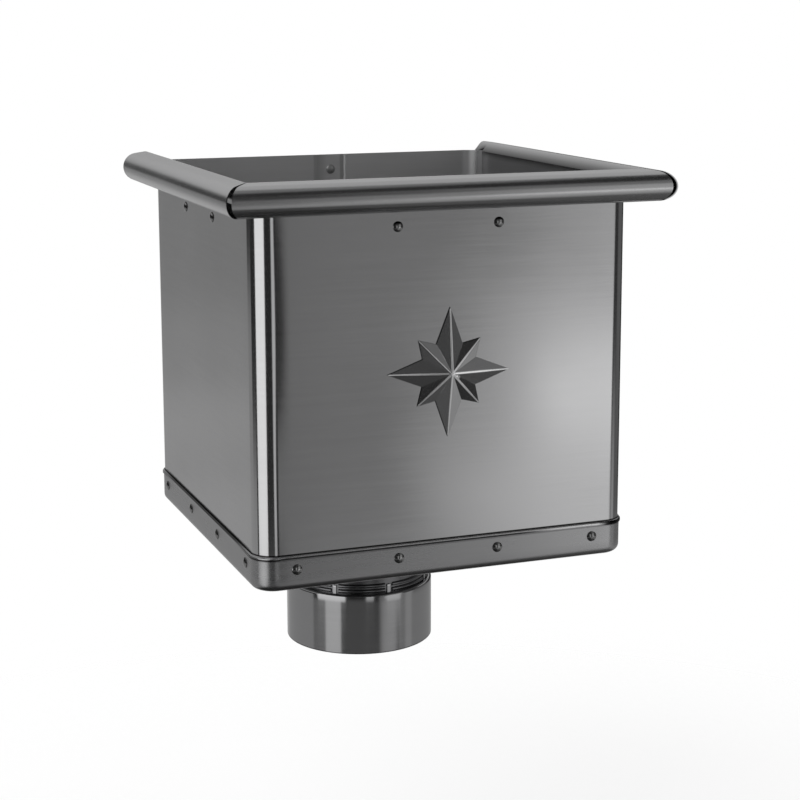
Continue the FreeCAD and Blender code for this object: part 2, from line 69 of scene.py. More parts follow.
# the wrapped wall
CORNER = 13.5
CORNER_POINTS = 19
CORNER_FADE = (3, 24)
wall_low, wall_high = span("body_wall")
HALF = wall_high[0]
FLAT = HALF - CORNER
QUARTER = 2 * FLAT + CORNER * math.pi / 2
MIDDLE_Y = (wall_low[1] + wall_high[1]) / 2
FRONT_Y = wall_low[1]
WALL_FOOT = wall_low[2]
BACK_RISE = 3.8
BACK_TOP = wall_high[2]
SIDE_TOP = BACK_TOP - BACK_RISE
TOP_STEP = 0.02
LAP_LEFT, LAP_RIGHT = -2.6, 16.6
LAP_LINE = 0.4
LAP_INSET = SHEET * 1.03
JOGGLE = 3.0

# the wall's waves: their depth, and their lengths along the run and upwards
WAVE = 0.16
LONG_WAVE = (31, 43)
WAVE_START = 1.3
WAVE_SLANT = 90
SHORT_WAVE = (17, 71)
SHORT_SHARE = 0.6

# dullness and painted shade inside the wall: the shine's and the painted shade's distances from the
# lap's edge, and how far from the right side's middle that side's sheen ends
RIGHT_DULL = 0.2
RIGHT_END = (FLAT + 2, FLAT + 16)
LAP_SHINE = 2.8
SHINE_RISE = np.array([1.9, 1.6])
SHINE_FALL = np.array([0.4, 0.1])
LAP_SHADE = 0.3
LAP_SHADE_END = np.array([2.2, 3.0])
JOGGLE_SOFT = 1

# the pan; its section lies on the hem past HEM_FACE, and near the top its
# outer edge lies past EDGE_FACE
pan_low, pan_high = span("base_pan")
PAN_BASE = pan_low[2]
PAN_TOP = pan_high[2]
PAN_GAP = 0.1
PAN_EDGE = 5.0
PAN_HOLE = 48.4
FLOOR_RUN = 60.0
PAN_FLANGE = PAN_GAP + SHEET / 2
EDGE_START = PAN_FLANGE - (PAN_EDGE - SHEET / 2)
HEM_HEIGHT = 2.0
HEM_BEND = 0.5
HEM_LINE = PAN_FLANGE + 2 * HEM_BEND
HEM_FACE = PAN_FLANGE + 0.55
EDGE_FACE = PAN_FLANGE + 0.2
HEM_PRESS = 0.3
HEM_FLARE, FLARE_START = 0.1, 8
HEM_DROP, DROP_START = 0.6, 6

# the pan's painted shade and painted highlights: depths below its top edge, or below the hem for
# UNDER_ROWS and UNDER_HEM
UNDER_ROWS = (1.25, 1.0, 0.15, -0.1)
UNDER_HEM = (0.05, 1.05)
UNDER_HEM_SHADE = 0.35
HEM_TOP = (0.3, 0.9)
HEM_FOOT = (0.8, 1.15)
HEM_FOOT_SHADE = 0.9
TOP_EDGE = 0.8
LIGHTEN = 0.15

# where along the front that painted shade and highlight begin and end, and how far from the middle of
# the front or the left side they reach
HEM_GLINT = ((45, 75), (100, FLAT + 6))
DARK_CORNER = ((FLAT - 6, FLAT + 2), (FLAT + 18, FLAT + 26))
LIGHTENED = ((20, 90), (FLAT + 8, FLAT + 20))
FRONT_END = (FLAT * 0.85, FLAT + 5)
LEFT_END = (FLAT * 0.7, FLAT)

# the rim
rim_low, rim_high = span("rim_front")
ROLL = 9.3
SHOULDER = 4.0
RIM_REACH = FRONT_Y - rim_low[1]
ROLL_OUT = RIM_REACH - ROLL
SHOULDER_OUT = 5.4
SHOULDER_Z = rim_high[2] - SHOULDER
ROLL_Z = SHOULDER_Z - 6.2
ROLL_MOUTH = 215.0
ROLL_POINTS = 49
WEB_SLOPE = 50.2
WEB_REACH = 3.3
FLANGE_FOOT = rim_low[2]
FLANGE_IN = 1.3
FOLD_BEND = 1.0
INNER_CORNER = 11.8
END_STUB = 0.03
RIM_STATIONS = 33
WAVER, WAVER_LENGTH = 0.05, 23
MITRE_POINTS = 8
PLAIN_POINTS = 9
END_GAP = 0.02

# the rim's ends: a mitre's play at the wall and its opening outside, or
# None for a plain end
FRONT_ENDS = ((0.1, 3.1), (0.1, 3.4))
LEFT_ENDS = (None, (0.0, 0.1))
RIGHT_ENDS = ((0.0, 0.1), None)

# the rim's painted shade
WEB_SHADE = 0.85
WEB_START = 2
FLANGE_SHADE = 0.25
FLANGE_FADE = 4
UNDER_RUN = (11.4, 13.0)

# the outlet
SPIGOT = span("outlet_spigot")[1][0]
SPIGOT_TOP = 41.1
SPIGOT_BEND = 1.4
SPIGOT_FOOT = 0.6
SPIGOT_SIDES = 144
collar_low, collar_high = span("outlet_collar")
COLLAR_BEND = 2.1
NECK = 46.6
NECK_PLAY = 0.15
BEAD = 1.3
BEADS_Z = (SPIGOT_TOP + 1.75, SPIGOT_TOP + 5.25)
TONGUES = 8
TONGUE_TURN = 5.5
TONGUE_OUT = 0.65
TONGUE_RISE = 5.6
TONGUE_WIDTH = 2.2
TONGUE_SLOT = 4.8
TONGUE_POINTS = 7
BEAD_POINTS = 13
BEAD_RISE = (-0.2, 0.5)

# the star: its corners' angles in degrees and reach, for a quarter of it
star_low, star_high = span("star_ornament")
STAR_CORNERS = ((0, 39.1), (26, 19.0), (45, 28.0), (64, 19.0))
STAR_POINTS = 16
STAR_Z = (star_low[2] + star_high[2]) / 2
STAR_TURN = 1.1
STAR_RELIEF = FRONT_Y - star_low[1]
STAR_EDGE = 0.7
STAR_RISE = STAR_RELIEF - STAR_EDGE
STAR_HEIGHTS = (STAR_EDGE * 0.9, STAR_RELIEF - 0.2)
STAR_CUT = (STAR_EDGE - 0.15, 0.05)
STAR_FOOT = 0.03
STAR_BULGE = 1.003
STAR_INNER = 0.985
STAR_SHEET = (80, 240)
EDGE_PIECES = 24
CREST = 0.55
CREST_TAPER = 0.45
CREST_EDGE = 0.12
SOLDER_AT = (3.0, -2.0)
SOLDER = 2.4
SOLDER_TOP = 5.9

# the star's painted highlights and painted shade, with shares of the way from its centre to its edge and
# of the solder's radius
STAR_HIGHLIGHT = 0.85
CREST_SOFT = 0.25
TIP_FADE = 0.55
FADE_RUN = (0.3, 0.85)
SOLDER_SOFT = (0.6, 1.0)
STAR_RIM_SHADE = 0.6

# a rivet: the pit in its head as radius and height, its tail as radius,
# place beyond the grip and bend, and which way each row's heads point
RIVET_HEAD = 3.2
RIVET_RISE = 1.3
RIVET_BRIM = 0.25
RIVET_PIT = ((0, 1.15), (0.15, 1.17))
PIT_EDGE = 0.3
RIVET_SHANK = 1.6
RIVET_GRIP = 1.7
RIVET_TAIL = ((RIVET_SHANK, 0, 0), (2.35, -0.05, 0.3), (2.4, -2.1, 1.2), (1.2, -2.9, 0.4), (0, -3.0, 0))
RIVET_SIDES = 32
DOME_POINTS = 14
RIVET_SHEET = (12, 20)
HEAD_WAYS = {"front": (0, -1, 0), "right": (1, 0, 0), "back": (0, 1, 0), "left": (-1, 0, 0),
             "seam": (0, -1, 0)}


# surfaces

def soft_step(value, low, high):
    """0 below low and 1 above high, with a smooth rise between."""
    t = np.clip((value - low) / (high - low), 0, 1)
    return t * t * (3 - 2 * t)


def between(value, rise, fall):
    """1 from the end of a soft rise to the start of a soft fall."""
    return soft_step(value, *rise) * (1 - soft_step(value, *fall))


def bent_line(corners, step=4.0):
    """A line of straight runs with round bends. Each corner gives x, y and
    the radius of its bend; the runs are cut into steps, the bends into
    pieces of a few degrees."""
    spots = [np.array(corner[:2], float) for corner in corners]
    line = [spots[0][None]]
    for index in range(1, len(spots)):
        here = spots[index]
        radius = corners[index][2] if len(corners[index]) > 2 else 0
        way_in = here - spots[index - 1]
        way_in = way_in / np.hypot(*way_in)
        arc = here[None]
        if radius:
            way_out = spots[index + 1] - here
            way_out = way_out / np.hypot(*way_out)
            turn = math.acos(np.clip(way_in @ way_out, -1, 1))
            side = np.sign(way_in[0] * way_out[1] - way_in[1] * way_out[0])
            normal = side * np.array([-way_in[1], way_in[0]])
            start = here - way_in * radius * math.tan(turn / 2)
            pieces = max(4, int(math.degrees(turn) / BEND_PIECE))
            angles = np.linspace(0, turn, pieces)[:, None]
            arc = start + radius * (np.sin(angles) * way_in + (1 - np.cos(angles)) * normal)
        before = line[-1][-1]
        count = max(1, int(np.hypot(*(arc[0] - before)) / step))
        straight = before + (arc[0] - before) * np.linspace(0, 1, count + 1)[1:, None]
        line.append(np.concatenate([straight, arc[1:]]))
    return np.concatenate(line)


def sheet_outline(line):
    """The outline of a bent sheet's cut: its centre line moved half a
    thickness to each side along the normals, drawn in over the last stretch
    so that the cut edges are rounded. Gives the points, first those on the
    line's left, and how far along the sheet each lies."""
    run = np.concatenate([[0], np.cumsum(np.hypot(*np.diff(line, axis=0).T))])
    near = CUT_EDGE * (1 - np.cos(np.linspace(0, math.pi / 2, EDGE_POINTS)))
    clear = 1.5 * CUT_EDGE
    inner = run[(run > clear) & (run < run[-1] - clear)]
    stops = np.concatenate([near, inner, (run[-1] - near)[::-1]])
    points = np.stack([np.interp(stops, run, line[:, axis]) for axis in (0, 1)], axis=1)
    along = np.gradient(points, axis=0)
    along /= np.hypot(*along.T)[:, None]
    normal = np.stack([-along[:, 1], along[:, 0]], axis=1)
    from_end = np.minimum(stops, run[-1] - stops).clip(0, CUT_EDGE)
    half = SHEET / 2 - CUT_EDGE + np.sqrt(CUT_EDGE ** 2 - (CUT_EDGE - from_end) ** 2)
    sides = points + normal * half[:, None], points - normal * half[:, None]
    return np.concatenate([sides[0], sides[1][::-1]]), np.concatenate([stops, stops[::-1]])


def on_left(outline):
    """Whether each point of a sheet's outline lies on its line's left."""
    return np.arange(len(outline)) < len(outline) // 2


def grid(points, along, across, ring=False, capped=False):
    """Quads through rows of points. Each row is a closed outline; the rows
    are a ring, or end in caps between the two faces of the sheet. Gives the
    points, the quads and where each corner lies along and across."""
    rows, columns = points.shape[:2]
    i, j = np.meshgrid(np.arange(rows if ring else rows - 1), np.arange(columns), indexing="ij")
    i, j = i.ravel(), j.ravel()
    steps = ((0, 0), (0, 1), (1, 1), (1, 0))
    quads = np.stack([(i + di) % rows * columns + (j + dj) % columns for di, dj in steps], axis=1)
    across = np.append(across, across[0])
    places = np.stack([np.stack([along[i + di], across[j + dj]], axis=1) for di, dj in steps], axis=1)
    if capped:
        j = np.arange(columns // 2 - 1)
        pairs = (j, j + 1, columns - 2 - j, columns - 1 - j)
        last = (rows - 1) * columns
        for first, end, order in ((0, along[0], (1, 0, 3, 2)), (last, along[-1], (0, 1, 2, 3))):
            quads = np.concatenate([quads, first + np.stack([pairs[k] for k in order], axis=1)])
            where = [np.stack([np.full(j.shape, end), across[pairs[k]]], axis=1) for k in order]
            places = np.concatenate([places, np.stack(where, axis=1)])
    return points.reshape(-1, 3), quads, places


def joined(parts):
    """Several grids as one."""
    starts = np.cumsum([0] + [len(part[0]) for part in parts])
    quads = [part[1] + start for part, start in zip(parts, starts)]
    return (np.concatenate([part[0] for part in parts]), np.concatenate(quads),
            np.concatenate([part[2] for part in parts]))


# two points closer than this, in metres, are one, and an edge shorter than
# the second length is taken out; an edge is sharp from this angle up
SAME_POINT = 2e-7
NO_EDGE = 1e-7
SHARP = math.radians(35)


def make_piece(name, surface, slot, material, node, **marks):
    """Turns a closed surface outwards, makes its mesh in metres, with its
    places along and across the sheet as a UV map, and hands it to the frame.
    Marks are attributes by name, each with its value at every point: painted shade, painted highlight
    and dullness."""
    points, quads, places = surface
    corners = points[quads] - points.mean(axis=0)
    volume = sum((np.cross(corners[:, 0], corners[:, b]) * corners[:, b + 1]).sum() for b in (1, 2))
    if volume < 0:
        quads, places = quads[:, ::-1], places[:, ::-1]
    mesh = bpy.data.meshes.new(name)
    mesh.vertices.add(len(points))
    mesh.vertices.foreach_set("co", (points * MM).ravel())
    mesh.loops.add(quads.size)
    mesh.loops.foreach_set("vertex_index", quads.ravel().astype(np.int32))
    mesh.polygons.add(len(quads))
    mesh.polygons.foreach_set("loop_start", np.arange(0, quads.size, 4, dtype=np.int32))
    mesh.uv_layers.new(name="sheet").data.foreach_set("uv", (places * MM).ravel())
    mesh.update(calc_edges=True)
    for mark_name, amount in marks.items():
        attribute = mesh.attributes.new(mark_name, "FLOAT", "POINT")
        attribute.data.foreach_set("value", amount.ravel())
    work = bmesh.new()
    work.from_mesh(mesh)
    bmesh.ops.remove_doubles(work, verts=work.verts, dist=SAME_POINT)
    bmesh.ops.dissolve_degenerate(work, edges=work.edges, dist=NO_EDGE)
    work.to_mesh(mesh)
    work.free()
    mesh.polygons.foreach_set("use_smooth", np.ones(len(mesh.polygons), bool))
    mesh.set_sharp_from_angle(angle=SHARP)
    mesh.materials.append(material)
    piece = bpy.data.objects.new(name, mesh)
    bpy.context.scene.collection.objects.link(piece)
    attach(piece, "root")
    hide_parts(node)


def around(run):
    """Where a run along the wall's outline lands, seen from above: a square
    with round corners, run anticlockwise from the middle of the front.
    Gives the points on the outer face and the outward normals."""
    side = np.floor((run + FLAT) / QUARTER)
    local = run + FLAT - side * QUARTER
    angle = np.clip((local - 2 * FLAT) / CORNER, 0, math.pi / 2)
    x = np.where(local < 2 * FLAT, local - FLAT, FLAT + CORNER * np.sin(angle))
    y = -FLAT - CORNER * np.cos(angle)
    turn = side * math.pi / 2
    across, outward = np.sin(angle), -np.cos(angle)
    points = np.stack([x * np.cos(turn) - y * np.sin(turn),
                       x * np.sin(turn) + y * np.cos(turn)], axis=-1)
    normals = np.stack([across * np.cos(turn) - outward * np.sin(turn),
                        across * np.sin(turn) + outward * np.cos(turn)], axis=-1)
    return points + [0, MIDDLE_Y], normals


def stations(start, end, step=8.0):
    """Runs between two ends, close together on the round corners. They are
    taken from seven quarters, more than once round the wall, and none lies
    within half a millimetre of an end."""
    flats = np.linspace(0, 2 * FLAT, int(2 * FLAT / step))
    bends = 2 * FLAT + np.linspace(0, CORNER * math.pi / 2, CORNER_POINTS)[1:-1]
    local = np.concatenate([flats, bends]) - FLAT
    runs = (np.arange(-3, 4)[:, None] * QUARTER + local).ravel()
    return np.concatenate([[start], runs[(runs > start + 0.5) & (runs < end - 0.5)], [end]])


def cornerness(run):
    """1 near the middle of a round corner, falling to 0 on the flats."""
    from_corner = np.abs((run + FLAT) % QUARTER - 2 * FLAT - CORNER * math.pi / 4)
    return 1 - soft_step(from_corner, *CORNER_FADE)


# materials

# painted shade is mixed towards the first colour, a near-black, and painted highlights towards the
# second, a pale grey
SHADE_PAINT = (0.012, 0.012, 0.012, 1)
HIGHLIGHT_PAINT = (0.82, 0.82, 0.825, 1)
LINE_FADE = 0.25
DULLING = 0.2
HAIR_DEPTH = 0.00002
SPECK_DEPTH = 0.00004


class Wire:
    """A value in a material, so that shader maths reads as Python."""

    def __init__(self, shader, socket):
        self.shader = shader
        self.socket = socket

    def math(self, operation, first, second):
        return self.shader.node("ShaderNodeMath", {"operation": operation}, {0: first, 1: second})

    def __add__(self, other):
        return self.math("ADD", self, other)

    def __sub__(self, other):
        return self.math("SUBTRACT", self, other)

    def __mul__(self, other):
        return self.math("MULTIPLY", self, other)

    __radd__ = __add__
    __rmul__ = __mul__

    def __rsub__(self, other):
        return self.math("SUBTRACT", other, self)


class Shader:
    """A material's nodes."""

    def __init__(self, material):
        material.use_nodes = True
        self.tree = material.node_tree
        self.tree.nodes.clear()

    def node(self, kind, settings=None, sockets=None, output=0):
        """Adds a node: its settings first, then its sockets' values or
        links. Gives one of its outputs."""
        made = self.tree.nodes.new(kind)
        for name, value in (settings or {}).items():
            setattr(made, name, value)
        for name, value in (sockets or {}).items():
            if isinstance(value, Wire):
                self.tree.links.new(value.socket, made.inputs[name])
            else:
                made.inputs[name].default_value = value
        return Wire(self, made.outputs[output]) if made.outputs else made

    def noise(self, vector, scale, detail=2.0, roughness=0.5):
        """Cloudy noise between 0 and 1, with its scale per unit of vector."""
        return self.node("ShaderNodeTexNoise", {}, {
            "Vector": vector, "Scale": scale, "Detail": detail, "Roughness": roughness})

    def stretched(self, vector, along, across):
        """A place on the sheet, scaled along and across it."""
        return self.node("ShaderNodeMapping", {}, {"Vector": vector, "Scale": (along, across, 1.0)})

    def mix(self, factor, first, second):
        """A colour that goes from the first to the second with a factor."""
        return self.node("ShaderNodeMix", {"data_type": "RGBA"}, {
            "Factor": factor, "A": first, "B": second}, output="Result")

    def band(self, place, low, high, soft):
        """1 between two heights in millimetres, fading to 0 beyond them."""
        height = self.node("ShaderNodeSeparateXYZ", {}, {0: place}, output="Z")
        rise = self.node("ShaderNodeMapRange", {}, {
            "Value": height, "From Min": (low - soft) * MM, "From Max": low * MM})
        fall = self.node("ShaderNodeMapRange", {}, {
            "Value": height, "From Min": high * MM, "From Max": (high + soft) * MM})
        return rise - fall

    def attribute(self, name):
        """A value that the mesh holds at its points."""
        return self.node("ShaderNodeAttribute", {"attribute_name": name}, output="Fac")

    def bump(self, height, strength, depth, normal=None):
        """The normal that a height of some depth in metres gives."""
        sockets = {"Height": height, "Strength": strength, "Distance": depth}
        if normal is not None:
            sockets["Normal"] = normal
        return self.node("ShaderNodeBump", {}, sockets)

    def finish(self, surface):
        """Puts a surface on the material."""
        self.node("ShaderNodeOutputMaterial", {}, {"Surface": surface})


def zinc(name, dark, light, roughness, grain, brushed=0.0, lines=(), has_painted_shade=False, dulled=False,
         worn=False):
    """Rolled zinc: a grey metal with cloudy patina, hairlines that run along the sheet and a faint
    unevenness. The hairlines read the sheet's own UV map, the clouds its place in the object. A
    near-black is mixed into the colour in level lines, each with its lowest and highest height and its
    strength, and as painted shade where the piece's own attribute says; other attributes dull the metal
    or paint highlights on it in pale grey."""
    material = bpy.data.materials.new(name)
    s = Shader(material)
    place = s.node("ShaderNodeTexCoord", output="Object")
    sheet = s.node("ShaderNodeUVMap", {"uv_map": "sheet"})
    cloud = s.noise(place, scale=16.0, detail=4.0, roughness=0.55)
    speck = s.noise(place, scale=420.0, roughness=0.6)
    hair = s.noise(s.stretched(sheet, along=26.0, across=1500.0), scale=1.0, roughness=0.6)
    streak = s.noise(s.stretched(sheet, along=9.0, across=260.0), scale=1.0)
    shade = cloud * 0.45 + hair * 0.4 + streak * 0.3 - 0.07
    colour = s.mix(shade, (*dark, 1), (*light, 1))
    # painted highlight: the colour goes pale where the piece's attribute says
    if worn:
        colour = s.mix(s.attribute("worn"), colour, HIGHLIGHT_PAINT)
    gloss = cloud * 0.08 + streak * 0.04 + hair * 0.04 + (roughness - 0.08)
    # painted shade: near-black where the piece's attribute says, and in the level lines
    grime = s.attribute("grime") if has_painted_shade else None
    for low, high, strength in lines:
        line = s.band(place, low, high, LINE_FADE) * strength
        grime = line if grime is None else grime + line
    if grime is not None:
        colour = s.mix(grime, colour, SHADE_PAINT)
    metallic = 1.0
    if dulled:
        dull = s.attribute("dull")
        metallic = 1.0 - dull * DULLING
        gloss = gloss + dull * DULLING
    normal = s.bump(speck, 0.04, SPECK_DEPTH, s.bump(hair, grain, HAIR_DEPTH))
    s.finish(s.node("ShaderNodeBsdfPrincipled", {}, {
        "Base Color": colour, "Metallic": metallic, "Roughness": gloss, "Normal": normal,
        "Anisotropic": brushed, "Anisotropic Rotation": 0.25}))
    return material


# the wall's level line just above the pan's lip is painted shade, for the gap between wall and lip
zinc_wall = zinc("zinc_wall", dark=(0.48, 0.48, 0.485), light=(0.60, 0.60, 0.605), roughness=0.14,
                 grain=0.05, brushed=0.5, lines=[(PAN_TOP, PAN_TOP + 0.5, 0.9)], has_painted_shade=True, dulled=True)
zinc_rim = zinc("zinc_rim", dark=(0.50, 0.50, 0.505), light=(0.62, 0.62, 0.625), roughness=0.23,
                grain=0.05, has_painted_shade=True, dulled=True)
zinc_pan = zinc("zinc_pan", dark=(0.33, 0.33, 0.335), light=(0.43, 0.43, 0.435), roughness=0.28,
                grain=0.05, has_painted_shade=True, worn=True)
# the neck's zinc is far darker than the rest: painted shade for the shadow between the sleeve and the
# collar
zinc_neck_shaded = zinc("zinc_neck_shaded", dark=(0.16, 0.16, 0.165), light=(0.22, 0.22, 0.225), roughness=0.25,
                 grain=0.05)
# the spigot's lower edge is painted darker in a level line
zinc_spigot = zinc("zinc_spigot", dark=(0.36, 0.36, 0.365), light=(0.44, 0.44, 0.445),
                   roughness=0.12, grain=0.02, lines=[(-1.0, 0.7, 0.5)])
zinc_star = zinc("zinc_star", dark=(0.44, 0.44, 0.445), light=(0.56, 0.56, 0.565), roughness=0.16,
                 grain=0.03, has_painted_shade=True, worn=True)
rivet_metal = zinc("rivet_metal", dark=(0.27, 0.27, 0.27), light=(0.36, 0.36, 0.36),
                   roughness=0.11, grain=0.02, dulled=True)


# the pieces

def wall_waves(run, height, share):
    """The wall's slow waves: a sine along the run times one upwards, and a
    shorter slanting sine. They die out at the corners, the foot and the top,
    and the back has none."""
    run = run[:, None]
    long_run, long_rise = LONG_WAVE
    short_run, short_rise = SHORT_WAVE
    wave = np.sin(run / long_run + WAVE_START) * np.sin(height / long_rise + run / WAVE_SLANT)
    wave += SHORT_SHARE * np.sin(run / short_run - height / short_rise)
    wave *= (1 - cornerness(run)) * np.sin(math.pi * share[None]) * WAVE / 2
    return wave * (np.abs(run) < 1.5 * QUARTER)


def wall_dull_and_shade(run, start, lap):
    """Dullness and painted shade on the wall's inner face: it is dull, the right side's less so. A
    painted shade line lies on the lap's bend and one at its edge, with a bright line beside."""
    lap_edge = 2 * QUARTER - LAP_RIGHT
    on_right = 1 - soft_step(np.abs(run - QUARTER), *RIGHT_END)
    shine = between(run, lap_edge - SHINE_RISE, lap_edge - SHINE_FALL)
    dull = 1 - (1 - RIGHT_DULL) * on_right + (LAP_SHINE - 1) * shine
    joggle_end = lap + JOGGLE
    joggled = between(run, (lap - JOGGLE_SOFT, lap), (joggle_end - JOGGLE_SOFT, joggle_end))
    # painted shade lines on the lap's bend and along the strip's inner end at the lap's edge
    grime = LAP_SHADE * joggled + LAP_SHADE * (1 - soft_step(run, *(start + LAP_SHADE_END)))
    return dull, grime


def wall():
    """The wrapped wall: a flat strip carried along a square with round
    corners, from the inner end of the lap at the back, round to the outer
    end, and stepped in by its own thickness where it passes under itself.
    The back's top is higher than the others'. The strip is drawn 1000 high,
    about four times its height, and shrunk to each side's height."""
    start = -2 * QUARTER - LAP_RIGHT
    lap = -2 * QUARTER - LAP_LEFT
    lap_edge = 2 * QUARTER - LAP_RIGHT
    back_ends = np.array([-QUARTER - FLAT, QUARTER + FLAT])
    run = np.unique(np.concatenate([
        stations(start, 2 * QUARTER - LAP_LEFT - LAP_LINE), lap + np.linspace(0, JOGGLE, 6),
        start + LAP_SHADE_END, lap_edge - SHINE_RISE, lap_edge - SHINE_FALL,
        back_ends, back_ends + TOP_STEP]))
    points, normals = around(run)
    on_back = (points[:, 1] - MIDDLE_Y > FLAT - TOP_STEP / 2) & (np.abs(run) > QUARTER + FLAT)
    top = np.where(on_back, BACK_TOP, SIDE_TOP)
    drawn = 1000
    outline, up = sheet_outline(bent_line([(-SHEET / 2, 0), (-SHEET / 2, drawn)], drawn / 25))
    share = outline[:, 1] / drawn
    height = WALL_FOOT + share[None] * (top - WALL_FOOT)[:, None]
    edge = np.minimum(outline[:, 1], drawn - outline[:, 1])
    height += np.where(share < 0.5, edge, -edge)[None] * (edge < CUT_EDGE)[None]
    inset = LAP_INSET * (1 - soft_step(run, lap, lap + JOGGLE))
    out = outline[None, :, 0] - inset[:, None] + wall_waves(run, height, share)
    place = points[:, None] + normals[:, None] * out[..., None]
    shape = np.concatenate([place, height[..., None]], axis=2)
    dull, grime = wall_dull_and_shade(run, start, lap)
    inner = on_left(outline)[None]
    make_piece("wall_sheet", grid(shape, run, up / 4, capped=True), "zinc_sheet", zinc_wall,
               "body_wall", dull=inner * dull[:, None], grime=inner * grime[:, None])


def pan_section():
    """The pan's cut: floor, round edge, upright flange and a hem folded outwards, as distance out from
    the wall and height, with rows where the painted shade under the hem begins and ends."""
    floor = PAN_BASE + SHEET / 2
    top = PAN_TOP - SHEET / 2
    under = [(PAN_FLANGE, PAN_TOP - HEM_HEIGHT - drop) for drop in UNDER_ROWS]
    return sheet_outline(bent_line([
        (-FLOOR_RUN, floor), (PAN_FLANGE, floor, PAN_EDGE - SHEET / 2), *under,
        (PAN_FLANGE, top, HEM_BEND), (HEM_LINE, top, HEM_BEND),
        (HEM_LINE, PAN_TOP - HEM_FOOT[1]), (HEM_LINE, PAN_TOP - HEM_HEIGHT)]))


def pan_shade_and_highlight(outline, run):
    """Painted shade and painted highlights on the pan. Painted shade lies under the hem and on its foot,
    but for a stretch near the front's right end where the hem has a painted highlight instead; it lies
    all over the hem at the corner beyond, and on the left only on top, along the gap to the wall. The
    front's top edge has a painted highlight, and the pan is painted a little lighter towards the front's
    right end."""
    depth = PAN_TOP - outline[:, 1]
    hem = outline[:, 0] > HEM_FACE
    under = depth - HEM_HEIGHT
    below_hem = ~on_left(outline) & ~hem & (under > UNDER_HEM[0]) & (under < UNDER_HEM[1])
    hem_top = 1 - soft_step(depth, *HEM_TOP)
    hem_foot = HEM_FOOT_SHADE * hem * soft_step(depth, *HEM_FOOT)
    left_side = 1 - soft_step(np.abs(run + QUARTER), *LEFT_END)[:, None]
    front = 1 - soft_step(np.abs(run), *FRONT_END)[:, None]
    hem_glint = between(run, *HEM_GLINT)[:, None]
    dark_corner = between(run, *DARK_CORNER)[:, None]
    # painted shade under the hem, on its foot, along its top on the left and over the hem at the right
    # corner
    grime = (UNDER_HEM_SHADE * below_hem[None] + hem_foot[None] * (1 - hem_glint)) * (1 - left_side)
    grime = np.minimum(grime + hem_top[None] * left_side + hem[None] * dark_corner, 1)
    # painted highlights: the front's top edge, the hem's glint near the front's right end and a lighter
    # stretch of the pan
    top_edge = (depth < TOP_EDGE) & (outline[:, 0] > EDGE_FACE)
    lightened = LIGHTEN * between(run, *LIGHTENED)[:, None]
    worn = np.maximum(top_edge[None] * front, np.maximum(hem[None] * hem_glint, lightened))
    return grime, worn


def pan():
    """The pressed pan: its section carried round the wall. The floor's inner
    end moves in straight lines to the round hole. At the corners the flange
    flares, and the hem is pressed closer and hangs lower."""
    outline, up = pan_section()
    run = stations(-2 * QUARTER, 2 * QUARTER, 6.0)[:-1]
    points, normals = around(run)
    corner = cornerness(run)[:, None]
    out = np.maximum(outline[:, 0], EDGE_START)
    flare = HEM_FLARE * soft_step(outline[:, 1], PAN_TOP - FLARE_START, PAN_TOP)
    reach = out[None] + corner * (flare - HEM_PRESS * np.maximum(out - PAN_FLANGE, 0))[None]
    hem = soft_step(outline[:, 0], PAN_FLANGE, HEM_LINE) * (outline[:, 1] > PAN_TOP - DROP_START)
    height = outline[None, :, 1] - HEM_DROP * corner * hem
    place = points[:, None] + normals[:, None] * reach[..., None]
    inward = np.clip((EDGE_START - outline[:, 0]) / (EDGE_START + FLOOR_RUN), 0, 1)[None, :, None]
    ray = points / np.hypot(*points.T)[:, None]
    place = place * (1 - inward) + PAN_HOLE * ray[:, None] * inward
    shape = np.concatenate([place, height[..., None]], axis=2)
    grime, worn = pan_shade_and_highlight(outline, run)
    make_piece("base_pan_pressing", grid(shape, np.append(run, -run[0]), up, ring=True),
               "zinc_sheet", zinc_pan, "base_pan", grime=grime, worn=worn)


def heading(angle):
    """The unit vector at an angle in degrees."""
    return np.array([math.cos(math.radians(angle)), math.sin(math.radians(angle))])


def rim_section():
    """The rim's centre line across the strip, as distance out from the wall
    and height: a roll from its mouth round to the top, a straight climb that
    touches roll and shoulder, the shoulder's bend, the web and the flange
    inside the wall. Gives the outline, its runs, the run where the web
    begins, the run where it folds down and the fold's height."""
    middle, bend = ROLL - SHEET / 2, SHOULDER - SHEET / 2
    roll_centre = np.array([ROLL_OUT, ROLL_Z])
    shoulder_centre = np.array([SHOULDER_OUT, SHOULDER_Z])
    apart = shoulder_centre - roll_centre
    top = math.degrees(math.atan2(apart[1], apart[0])
                       - math.acos((ROLL - SHOULDER) / math.hypot(*apart)))
    angle = np.radians(np.linspace(ROLL_MOUTH, 360 + top, ROLL_POINTS))
    roll = roll_centre + middle * np.stack([np.cos(angle), np.sin(angle)], axis=1)
    top_way, web_way = heading(top), heading(90 + WEB_SLOPE)
    corner = shoulder_centre + bend * (top_way + web_way) / (1 + top_way @ web_way)
    slope = math.tan(math.radians(WEB_SLOPE))
    fold = corner[1] - (corner[0] + FLANGE_IN) * slope
    web = bent_line([tuple(roll[-1]), (*corner, bend), (-FLANGE_IN, fold, FOLD_BEND),
                     (-FLANGE_IN, FLANGE_FOOT)], 2.0)
    outline, run = sheet_outline(np.concatenate([roll, web[1:]]))
    start = shoulder_centre + bend * web_way
    turn = math.acos(top_way @ web_way)
    web_run = middle * (angle[-1] - angle[0]) + np.hypot(*(roll[-1] - corner))
    web_run += bend * (turn - math.tan(turn / 2))
    fold_run = web_run + (start[0] + FLANGE_IN) * math.hypot(1, slope)
    return outline, run, web_run, fold_run, fold


